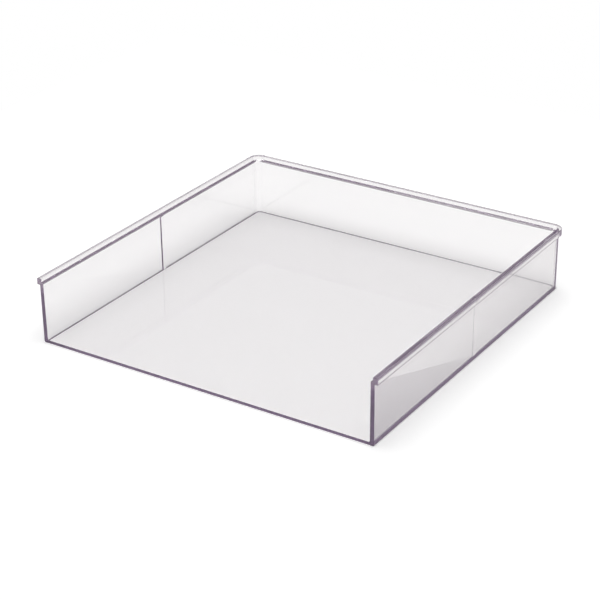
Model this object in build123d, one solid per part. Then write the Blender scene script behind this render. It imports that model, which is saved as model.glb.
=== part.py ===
from build123d import *
import os

# Clear open-front drawer tray for 12 inch paper. Millimetres, +Z up, +Y towards the back wall.
# The origin is the centre of the overall box, at the underside.

# Overall size
WIDTH = 321.8          # across the rim, X
DEPTH = 318.5          # wall ends at the front to the back edge of the rim, Y
HEIGHT = 58.0          # underside to the top of the rim

# Rim: a raised lip that stands out past the walls, with a lower ledge inside it
OVERHANG = 2.8         # how far the lip stands out past the walls
LIP_HEIGHT = 5.7       # top of the rim to the underside of the lip
LAND = 4.4             # width of the raised top of the lip
LEDGE_DROP = 2.7       # top of the rim down to the start of the ledge
LEDGE_FALL = 1.1       # how much lower the ledge ends, at the inner face
RIM_CORNER = 10.0      # outer corner radius of the rim in plan

# Walls and floor
WALL = 3.4             # at the ledge, all three walls
DRAFT = 0.4            # degrees, the inner faces lean outwards going up
RIB_START = -0.9       # Y where the stop rib inside each side wall starts
RIB_WIDTH = 5.2
RIB_DEPTH = 1.0        # how far the rib stands out from the wall in front of it
RIB_SLOPE = 0.6        # Y that each flank of the rib takes up
FLOOR = 2.6
WALL_CORNER = 6.5      # outer corner radius of the walls in plan
INNER_CORNER = 5.0     # inner corner radius in plan

# Edge radii
FOOT_EDGE = 1.2        # underside to the walls
FLOOR_EDGE = 1.4       # floor to the inner faces
LIP_TOP_EDGE = 0.7
LIP_LOW_EDGE = 0.2
LEDGE_EDGE = 0.5       # from the ledge down into the tray
END_EDGE = 0.6         # round the front ends

# Derived places
FRONT_Y = -DEPTH / 2
RIM_BACK_Y = DEPTH / 2
WALL_BACK_Y = RIM_BACK_Y - OVERHANG
WALL_X = WIDTH / 2 - OVERHANG
LEDGE_Z = HEIGHT - LEDGE_DROP
PAST = 12.0            # how far a cutter runs past the open front


def u_outline(half_width, back_y, corner, front_y):
    """A rectangle in plan, open to the front, with its two back corners rounded."""
    middle = (back_y + front_y) / 2
    outline = Pos(0, middle) * Rectangle(2 * half_width, back_y - front_y)
    corners = outline.vertices().group_by(Axis.Y)[-1]
    return fillet(corners, corner)


def walls_block():
    """The outside of the walls and the floor, before it is hollowed."""
    outline = u_outline(WALL_X, WALL_BACK_Y, WALL_CORNER, FRONT_Y)
    block = extrude(outline, HEIGHT - LIP_HEIGHT / 2)
    low_edges = block.edges().group_by(Axis.Z)[0]
    rounded = [e for e in low_edges if e.center().Y > FRONT_Y + 1]
    return fillet(rounded, FOOT_EDGE)


def lip_block():
    """The outside of the lip, a slab as wide as the whole rim."""
    outline = u_outline(WIDTH / 2, RIM_BACK_Y, RIM_CORNER, FRONT_Y)
    slab = Pos(0, 0, HEIGHT - LIP_HEIGHT) * extrude(outline, LIP_HEIGHT)
    top_edges = slab.edges().group_by(Axis.Z)[-1]
    slab = fillet([e for e in top_edges if e.center().Y > FRONT_Y + 1], LIP_TOP_EDGE)
    low_edges = slab.edges().group_by(Axis.Z)[0]
    return fillet([e for e in low_edges if e.center().Y > FRONT_Y + 1], LIP_LOW_EDGE)


def tan_of(degrees):
    """The tangent of a small angle given in degrees."""
    radians = degrees * 3.14159265 / 180
    return radians + radians ** 3 / 3


def atan_of(ratio):
    """The angle in degrees whose tangent is ratio, for a ratio below 1."""
    powers = ratio - ratio ** 3 / 3 + ratio ** 5 / 5 - ratio ** 7 / 7
    return powers * 180 / 3.14159265


def inside_cutter():
    """The space inside the walls: it widens upwards by the draft."""
    tall = LEDGE_Z - FLOOR
    lean = tall * tan_of(DRAFT)
    inset = WALL + lean
    outline = u_outline(WALL_X - inset, WALL_BACK_Y - inset, INNER_CORNER, FRONT_Y - PAST)
    cutter = extrude(outline, tall, taper=-DRAFT)
    low_edges = cutter.edges().group_by(Axis.Z)[0]
    rounded = [e for e in low_edges if e.center().Y > FRONT_Y - PAST + 1]
    return Pos(0, 0, FLOOR) * fillet(rounded, FLOOR_EDGE)


def ledge_cutter():
    """The space inside the raised lip, down to the ledge that falls towards the inside."""
    corner = RIM_CORNER - LAND
    outline = u_outline(WIDTH / 2 - LAND, RIM_BACK_Y - LAND, corner, FRONT_Y - PAST)
    upper = Pos(0, 0, LEDGE_Z) * extrude(outline, LEDGE_DROP + 5)
    run = OVERHANG + WALL - LAND
    reach = run + 1.0
    slope = 90 - atan_of(LEDGE_FALL / run)
    lower = extrude(outline, reach * LEDGE_FALL / run, taper=slope, dir=(0, 0, -1))
    return upper + Pos(0, 0, LEDGE_Z) * lower


def is_ledge_edge(edge):
    """True for the ledge's inner edge, without its ends in the plane of the front."""
    middle = edge.center()
    inset = WALL - 0.1
    inside = abs(middle.X) < WALL_X - inset and middle.Y < WALL_BACK_Y - inset
    return inside and middle.Y > FRONT_Y + 1


def soften_rim(tray):
    """The radius from the ledge down into the tray."""
    low_z = LEDGE_Z - LEDGE_FALL - 0.3
    near = tray.edges().filter_by_position(Axis.Z, low_z, low_z + 0.6)
    return fillet([e for e in near if is_ledge_edge(e)], LEDGE_EDGE)


def stop_rib():
    """An upright rib inside the left side wall, from the floor up to the ledge."""
    low = FLOOR - 1
    tall = LEDGE_Z - LEDGE_FALL - LEDGE_EDGE - low
    lean = (LEDGE_Z - low) * tan_of(DRAFT)
    wall_x = WALL_X - WALL - lean
    crest_x = wall_x - RIB_DEPTH
    rib_end = RIB_START + RIB_WIDTH
    outline = Polyline(
        (-wall_x - 1.2, RIB_START),
        (-wall_x, RIB_START),
        (-crest_x, RIB_START + RIB_SLOPE),
        (-crest_x, rib_end - RIB_SLOPE),
        (-wall_x, rib_end),
        (-wall_x - 1.2, rib_end),
        close=True,
    )
    return Pos(0, 0, low) * extrude(make_face(outline), tall, taper=DRAFT)


def soften_ends(tray):
    """A small radius all round the front ends of the walls, the floor and the rim."""
    front = tray.edges().filter_by_position(Axis.Y, FRONT_Y - 0.01, FRONT_Y + 0.01)
    return fillet(front, END_EDGE)


def drawer_tray():
    """The whole moulding."""
    tray = walls_block() + lip_block()
    tray = tray - inside_cutter()
    tray = tray - ledge_cutter()
    tray = soften_rim(tray)
    tray = soften_ends(tray)
    rib = stop_rib()
    tray = tray + rib + mirror(rib, about=Plane.YZ)
    tray.label = "drawer_tray"
    return tray


os.makedirs("parts", exist_ok=True)
export_step(drawer_tray(), "parts/drawer_tray.step")
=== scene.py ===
import math

import bmesh
import bpy
from mathutils import Matrix, Vector


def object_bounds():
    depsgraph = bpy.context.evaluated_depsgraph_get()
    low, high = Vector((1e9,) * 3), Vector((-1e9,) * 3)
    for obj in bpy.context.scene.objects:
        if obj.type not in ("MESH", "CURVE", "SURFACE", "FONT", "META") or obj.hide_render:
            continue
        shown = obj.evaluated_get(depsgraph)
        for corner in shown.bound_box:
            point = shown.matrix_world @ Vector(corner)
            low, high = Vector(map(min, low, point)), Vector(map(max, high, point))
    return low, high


bl_info = {
    "name": "Drawer Tray",
    "version": (1, 0, 0),
    "blender": (4, 5, 0),
    "location": "View3D > Sidebar > Drawer Tray",
    "description": "Dresses a clear open-front drawer tray and its studio stage",
    "category": "Object",
}

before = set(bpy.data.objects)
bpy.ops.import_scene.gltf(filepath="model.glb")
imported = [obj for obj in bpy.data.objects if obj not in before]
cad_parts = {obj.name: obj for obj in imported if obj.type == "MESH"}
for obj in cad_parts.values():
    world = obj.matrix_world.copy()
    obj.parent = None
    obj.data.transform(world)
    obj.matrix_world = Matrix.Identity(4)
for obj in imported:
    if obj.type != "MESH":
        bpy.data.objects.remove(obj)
CAD_LOW, CAD_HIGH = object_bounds()

TRAY = "drawer_tray"

# Metres, unless a line says otherwise
WELD_GAP = 0.000002        # corners closer than this are joined
RIPPLE_SCALE = 14.0        # waves for each metre
RIPPLE_STRENGTH = 0.02     # share of the full bump
RIPPLE_DEPTH = 0.001
SCUFF_SCALE = 90.0         # patches for each metre
SCUFF_SPREAD = 0.02        # roughness that the patches add
OVERHANG = 0.0028          # the rim past the walls
CONTACT_SHADE_BAND = 0.0036         # strip of floor under each wall, painted darker as contact shade
BAND_EDGE = 0.0008         # soft edge of that strip and of the painted light under the tray
FLOOR_HALF = 0.55          # half the stage floor's side
FLOOR_GAP = 0.0002         # stage floor below the tray
SENSOR_MM = 36.0           # width of the camera's frame, in millimetres
LAMP_PLACE = (0.0, 0.1, 1.6)
LAMP_SIZE = (1.6, 1.6)
WHITE = (1.0, 1.0, 1.0, 1.0)


# ---------------------------------------------------------------- settings

class TrayFinish(bpy.types.PropertyGroup):
    """Colours and surface of the clear moulding."""

    ior: bpy.props.FloatProperty(
        name="Refractive index", description="Bending power of the clear plastic",
        default=1.59, min=1.3, max=1.8)
    roughness: bpy.props.FloatProperty(
        name="Roughness", description="Polish of the moulded faces",
        default=0.03, min=0.0, max=1.0, subtype="FACTOR")
    haze: bpy.props.FloatProperty(
        name="Haze", description="Milky share of the surface where it mirrors from within",
        default=0.07, min=0.0, max=1.0, subtype="FACTOR")
    haze_tint: bpy.props.FloatVectorProperty(
        name="Haze tint", description="Colour of the haze",
        default=(0.64, 0.42, 0.74), size=3, min=0.0, max=1.0, subtype="COLOR")
    rim_haze: bpy.props.FloatProperty(
        name="Rim haze", description="Milky share at the rim",
        default=0.25, min=0.0, max=1.0, subtype="FACTOR")
    rim_haze_tint: bpy.props.FloatVectorProperty(
        name="Rim haze tint", description="Colour of the haze at the rim",
        default=(0.60, 0.50, 0.62), size=3, min=0.0, max=1.0, subtype="COLOR")
    rim_start: bpy.props.FloatProperty(
        name="Rim start", description="Share of the height where the rim's haze starts",
        default=0.70, min=0.0, max=1.0, subtype="FACTOR")
    rim_full: bpy.props.FloatProperty(
        name="Rim full", description="Share of the height where the rim's haze is full",
        default=0.87, min=0.0, max=1.0, subtype="FACTOR")
    body_tint: bpy.props.FloatVectorProperty(
        name="Body tint", description="Colour of the plastic seen straight through",
        default=(0.91, 0.905, 0.9), size=3, min=0.0, max=1.0, subtype="COLOR")
    edge_tint: bpy.props.FloatVectorProperty(
        name="Edge tint", description="Colour that a long path through the plastic takes on",
        default=(0.74, 0.64, 0.78), size=3, min=0.0, max=1.0, subtype="COLOR")
    edge_depth: bpy.props.FloatProperty(
        name="Tint strength", description="Absorption for each metre of plastic",
        default=10.0, min=0.0, max=400.0)


class StageLook(bpy.types.PropertyGroup):
    """Camera, lights and floor."""

    azimuth: bpy.props.FloatProperty(
        name="Azimuth", description="Camera's turn round the tray, 0 looks at the open front",
        default=math.radians(32.9675), subtype="ANGLE")
    elevation: bpy.props.FloatProperty(
        name="Elevation", description="Camera's height above the horizon",
        default=math.radians(26.5254), subtype="ANGLE")
    roll: bpy.props.FloatProperty(
        name="Roll", description="Camera's tilt about its own line of sight",
        default=math.radians(-0.5751), subtype="ANGLE")
    distance: bpy.props.FloatProperty(
        name="Distance", description="From the camera to its target",
        default=1.55543, unit="LENGTH")
    target: bpy.props.FloatVectorProperty(
        name="Target", description="Point on the floor that the camera looks at",
        default=(-0.02018, 0.01712, 0.0), size=3, subtype="TRANSLATION", unit="LENGTH")
    lens: bpy.props.FloatProperty(
        name="Lens", description="Focal length for a 36 mm wide frame, in millimetres",
        default=108.13)
    floor_colour: bpy.props.FloatVectorProperty(
        name="Floor colour", description="Colour of the plain floor",
        default=(0.82, 0.82, 0.82), size=3, min=0.0, max=1.0, subtype="COLOR")
    floor_lift: bpy.props.FloatProperty(
        name="Floor lift", description="Light added to the floor as the camera sees it",
        default=0.35, min=0.0, max=1.0)
    mirrored_lift: bpy.props.FloatProperty(
        name="Mirrored lift", description="Share of that light that reflections see",
        default=0.7, min=0.0, max=1.0)
    under_lift: bpy.props.FloatProperty(
        name="Under lift", description="More of that light, seen through the tray's floor",
        default=0.8, min=0.0, max=2.0)
    room: bpy.props.FloatProperty(
        name="Room", description="Brightness of the room all round as it lights the floor",
        default=0.45, min=0.0, max=2.0)
    mirrored_room: bpy.props.FloatProperty(
        name="Mirrored room", description="Brightness of the room as reflections see it",
        default=0.5, min=0.0, max=2.0)
    mirrored_floor: bpy.props.FloatProperty(
        name="Mirrored floor", description="How much of the floor's colour reflections see",
        default=0.9, min=0.0, max=1.0)
    softbox: bpy.props.FloatProperty(
        name="Softbox", description="Power of the lamp overhead",
        default=16.0, min=0.0, max=100.0, unit="POWER")


# ---------------------------------------------------------------- shader helpers

class Val:
    """A socket of a node tree that can be used in Python expressions."""

    def __init__(self, graph, socket):
        self.graph = graph
        self.socket = socket

    def _op(self, operation, *others):
        return self.graph.math(operation, self, *others)

    def __add__(self, other):
        return self._op("ADD", other)

    def __radd__(self, other):
        return self.graph.math("ADD", other, self)

    def __sub__(self, other):
        return self._op("SUBTRACT", other)

    def __rsub__(self, other):
        return self.graph.math("SUBTRACT", other, self)

    def __mul__(self, other):
        return self._op("MULTIPLY", other)

    def __rmul__(self, other):
        return self.graph.math("MULTIPLY", other, self)

    def __truediv__(self, other):
        return self._op("DIVIDE", other)

    def larger(self, other):
        return self._op("MAXIMUM", other)

    def clamped(self):
        return self.graph.node("ShaderNodeClamp", {}, {"Value": self})


class Graph:
    """Nodes of one material or world, made by one general method."""

    def __init__(self, owner):
        owner.use_nodes = True
        self.tree = owner.node_tree
        self.tree.nodes.clear()

    def node(self, kind, settings, links, out=0):
        """Adds a node, sets its settings, then feeds its sockets with values or links."""
        made = self.tree.nodes.new(kind)
        for name, value in settings.items():
            setattr(made, name, value)
        for name, value in links.items():
            socket = made.inputs[name]
            if isinstance(value, Val):
                self.tree.links.new(value.socket, socket)
            else:
                socket.default_value = value
        return Val(self, made.outputs[out]) if made.outputs else None

    def math(self, operation, *values):
        return self.node("ShaderNodeMath", {"operation": operation}, dict(enumerate(values)))


def rgba(colour):
    """A colour with its alpha of 1."""
    return (*colour, 1.0)


# ---------------------------------------------------------------- the tray

def clear_plastic(finish):
    """Polished clear moulding with a faint violet-grey body that shows along the edges.

    Where the surface mirrors from within it is a little milky, and more so at the rim.
    """
    material = bpy.data.materials.new("clear_plastic")
    g = Graph(material)
    place = g.node("ShaderNodeTexCoord", {}, {}, out="Object")
    waves = g.node("ShaderNodeTexNoise", {}, {
        "Vector": place, "Scale": RIPPLE_SCALE, "Detail": 2.0})
    ripple = g.node("ShaderNodeBump", {}, {
        "Height": waves, "Strength": RIPPLE_STRENGTH, "Distance": RIPPLE_DEPTH})
    scuffs = g.node("ShaderNodeTexNoise", {}, {
        "Vector": place, "Scale": SCUFF_SCALE, "Detail": 4.0})
    rough = finish.roughness + SCUFF_SPREAD * scuffs
    shader = g.node("ShaderNodeBsdfPrincipled", {}, {
        "Base Color": rgba(finish.body_tint),
        "Roughness": rough,
        "IOR": finish.ior,
        "Transmission Weight": 1.0,
        "Normal": ripple,
    })
    body = g.node("ShaderNodeVolumeAbsorption", {}, {
        "Color": rgba(finish.edge_tint), "Density": finish.edge_depth})
    upright = g.node("ShaderNodeSeparateXYZ", {}, {"Vector": place}, out="Z")
    risen = (upright - CAD_LOW.z) / (CAD_HIGH.z - CAD_LOW.z)
    at_rim = ((risen - finish.rim_start) / (finish.rim_full - finish.rim_start)).clamped()
    low_milk, rim_milk = (
        g.node("ShaderNodeBsdfTranslucent", {}, {"Color": rgba(tint)})
        for tint in (finish.haze_tint, finish.rim_haze_tint))
    milk = g.node("ShaderNodeMixShader", {}, {0: at_rim, 1: low_milk, 2: rim_milk})
    glancing = g.node("ShaderNodeFresnel", {}, {"IOR": finish.ior})
    haze = (finish.haze + (finish.rim_haze - finish.haze) * at_rim) * glancing
    both = g.node("ShaderNodeMixShader", {}, {0: haze, 1: shader, 2: milk})
    g.node("ShaderNodeOutputMaterial", {}, {"Surface": both, "Volume": body})
    return material


class TRAY_OT_dress(bpy.types.Operator):
    """Gives the tray its clear finish"""

    bl_idname = "drawer_tray.dress"
    bl_label = "Dress tray"

    def execute(self, context):
        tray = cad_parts[TRAY]
        material = clear_plastic(context.scene.tray_finish)
        if not tray.material_slots:
            tray.data.materials.append(material)
        for slot in tray.material_slots:
            slot.material = material
        weld = tray.modifiers.new("weld", "WELD")
        weld.merge_threshold = WELD_GAP
        return {"FINISHED"}


# ---------------------------------------------------------------- the stage

def add_camera(look):
    """The camera, placed from its turn, height, roll, distance and target."""
    a, e, roll = look.azimuth, look.elevation, look.roll
    forward = Vector((-math.sin(a) * math.cos(e), math.cos(a) * math.cos(e), -math.sin(e)))
    right = forward.cross(Vector((0, 0, 1))).normalized()
    up = right.cross(forward)
    tilted_right = right * math.cos(roll) + up * math.sin(roll)
    tilted_up = up * math.cos(roll) - right * math.sin(roll)
    data = bpy.data.cameras.new("camera")
    data.sensor_width = SENSOR_MM
    data.lens = look.lens
    camera = bpy.data.objects.new("camera", data)
    turn = Matrix((tilted_right, tilted_up, -forward)).transposed()
    place = Vector(look.target) - forward * look.distance
    camera.matrix_world = Matrix.Translation(place) @ turn.to_4x4()
    bpy.context.scene.collection.objects.link(camera)
    bpy.context.scene.camera = camera


def add_softbox(look):
    """A wide area lamp over the tray, pointed at the middle of its underside."""
    data = bpy.data.lights.new("top_softbox", "AREA")
    data.shape = "RECTANGLE"
    data.size, data.size_y = LAMP_SIZE
    data.energy = look.softbox
    lamp = bpy.data.objects.new("top_softbox", data)
    lamp.location = LAMP_PLACE
    lamp.rotation_mode = "QUATERNION"
    lamp.rotation_quaternion = (-Vector(LAMP_PLACE)).to_track_quat("-Z", "Y")
    bpy.context.scene.collection.objects.link(lamp)


def ray_parts(g):
    """1 for rays straight from the camera or through clear walls, and 1 for mirrored ones."""
    camera, through, bounces, scatters = (
        g.node("ShaderNodeLightPath", {}, {}, out=name) for name in
        ("Is Camera Ray", "Is Transmission Ray", "Glossy Depth", "Diffuse Depth"))
    bounced = bounces.clamped()
    from_camera = 1.0 - scatters.clamped()
    straight = camera.larger(through) * (1.0 - bounced) * from_camera
    return straight, bounced * from_camera


def painted_floor_shade_and_light(g):
    """Masks for the floor's painted light: 1 in the painted contact shade under the three
    walls, and 1 in the painted light under the rest of the tray.
    """
    place = g.node("ShaderNodeTexCoord", {}, {}, out="Object")
    across, along = (g.node("ShaderNodeSeparateXYZ", {}, {"Vector": place}, out=axis)
                     for axis in "XY")
    from_middle = g.math("ABSOLUTE", across)
    side, back = CAD_HIGH.x - OVERHANG, CAD_HIGH.y - OVERHANG
    in_side = ((from_middle - (side - CONTACT_SHADE_BAND)) / BAND_EDGE).clamped()
    in_back = ((along - (back - CONTACT_SHADE_BAND)) / BAND_EDGE).clamped()
    within_sides = ((side - from_middle) / BAND_EDGE).clamped()
    within_back = ((back - along) / BAND_EDGE).clamped()
    within_front = ((along - CAD_LOW.y) / BAND_EDGE).clamped()
    inside = within_sides * within_back * within_front
    walls = in_side.larger(in_back) * inside
    return walls, inside - walls


def floor_finish(look):
    """A pale floor that the camera sees near white and that keeps the tray's shadow, with
    painted contact shade under the walls and painted light under the rest of the tray.
    """
    material = bpy.data.materials.new("stage_floor")
    g = Graph(material)
    straight, mirrored = ray_parts(g)
    walls, middle = painted_floor_shade_and_light(g)
    # Painted reflection: the floor's colour is dimmed where reflections see it.
    colour = g.node("ShaderNodeVectorMath", {"operation": "SCALE"}, {
        0: look.floor_colour, "Scale": 1.0 - (1.0 - look.mirrored_floor) * mirrored})
    matt = g.node("ShaderNodeBsdfDiffuse", {}, {"Color": colour})
    # Painted contact shade: no lift on the strip under the walls; painted light: more lift
    # under the rest of the tray, in place of light through its clear floor.
    under = 1.0 + look.under_lift * middle - walls
    share = (straight + look.mirrored_lift * mirrored) * under
    lift = g.node("ShaderNodeEmission", {}, {
        "Color": WHITE, "Strength": look.floor_lift * share})
    both = g.node("ShaderNodeAddShader", {}, {0: matt, 1: lift})
    g.node("ShaderNodeOutputMaterial", {}, {"Surface": both})
    return material


def add_floor(look):
    """A square floor just under the tray."""
    bm = bmesh.new()
    bmesh.ops.create_grid(bm, x_segments=1, y_segments=1, size=FLOOR_HALF)
    bmesh.ops.translate(bm, verts=bm.verts, vec=(0, 0, CAD_LOW.z - FLOOR_GAP))
    mesh = bpy.data.meshes.new("stage_floor")
    bm.to_mesh(mesh)
    bm.free()
    floor = bpy.data.objects.new("stage_floor", mesh)
    mesh.materials.append(floor_finish(look))
    bpy.context.scene.collection.objects.link(floor)


def set_world(look):
    """White behind the tray, and a dimmer room for the light that falls on it."""
    world = bpy.data.worlds.new("studio")
    g = Graph(world)
    straight, mirrored = ray_parts(g)
    strength = look.room + (1.0 - look.room) * straight
    strength = strength - (look.room - look.mirrored_room) * mirrored
    sky = g.node("ShaderNodeBackground", {}, {"Color": WHITE, "Strength": strength})
    g.node("ShaderNodeOutputWorld", {}, {"Surface": sky})
    bpy.context.scene.world = world


class TRAY_OT_stage(bpy.types.Operator):
    """Builds the floor, lights, world and camera"""

    bl_idname = "drawer_tray.stage"
    bl_label = "Build stage"

    def execute(self, context):
        look = context.scene.tray_stage
        add_camera(look)
        add_floor(look)
        set_world(look)
        add_softbox(look)
        context.scene.view_settings.view_transform = "Standard"
        return {"FINISHED"}


class TRAY_PT_sidebar(bpy.types.Panel):
    """Lists the tray's settings and steps"""

    bl_idname = "TRAY_PT_sidebar"
    bl_label = "Drawer Tray"
    bl_space_type = "VIEW_3D"
    bl_region_type = "UI"
    bl_category = "Drawer Tray"

    def draw(self, context):
        column = self.layout.column()
        for group in (context.scene.tray_finish, context.scene.tray_stage):
            for name in group.__annotations__:
                column.prop(group, name)
        for operator in (TRAY_OT_dress, TRAY_OT_stage):
            column.operator(operator.bl_idname)


CLASSES = (TrayFinish, StageLook, TRAY_OT_dress, TRAY_OT_stage, TRAY_PT_sidebar)


def register():
    """Adds the classes and the scene's two groups of settings."""
    for cls in CLASSES:
        bpy.utils.register_class(cls)
    bpy.types.Scene.tray_finish = bpy.props.PointerProperty(type=TrayFinish)
    bpy.types.Scene.tray_stage = bpy.props.PointerProperty(type=StageLook)


def unregister():
    """Takes them out again."""
    del bpy.types.Scene.tray_stage
    del bpy.types.Scene.tray_finish
    for cls in reversed(CLASSES):
        bpy.utils.unregister_class(cls)


def main():
    """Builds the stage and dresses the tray."""
    register()
    bpy.ops.drawer_tray.stage()
    bpy.ops.drawer_tray.dress()


if __name__ == "__main__":
    main()
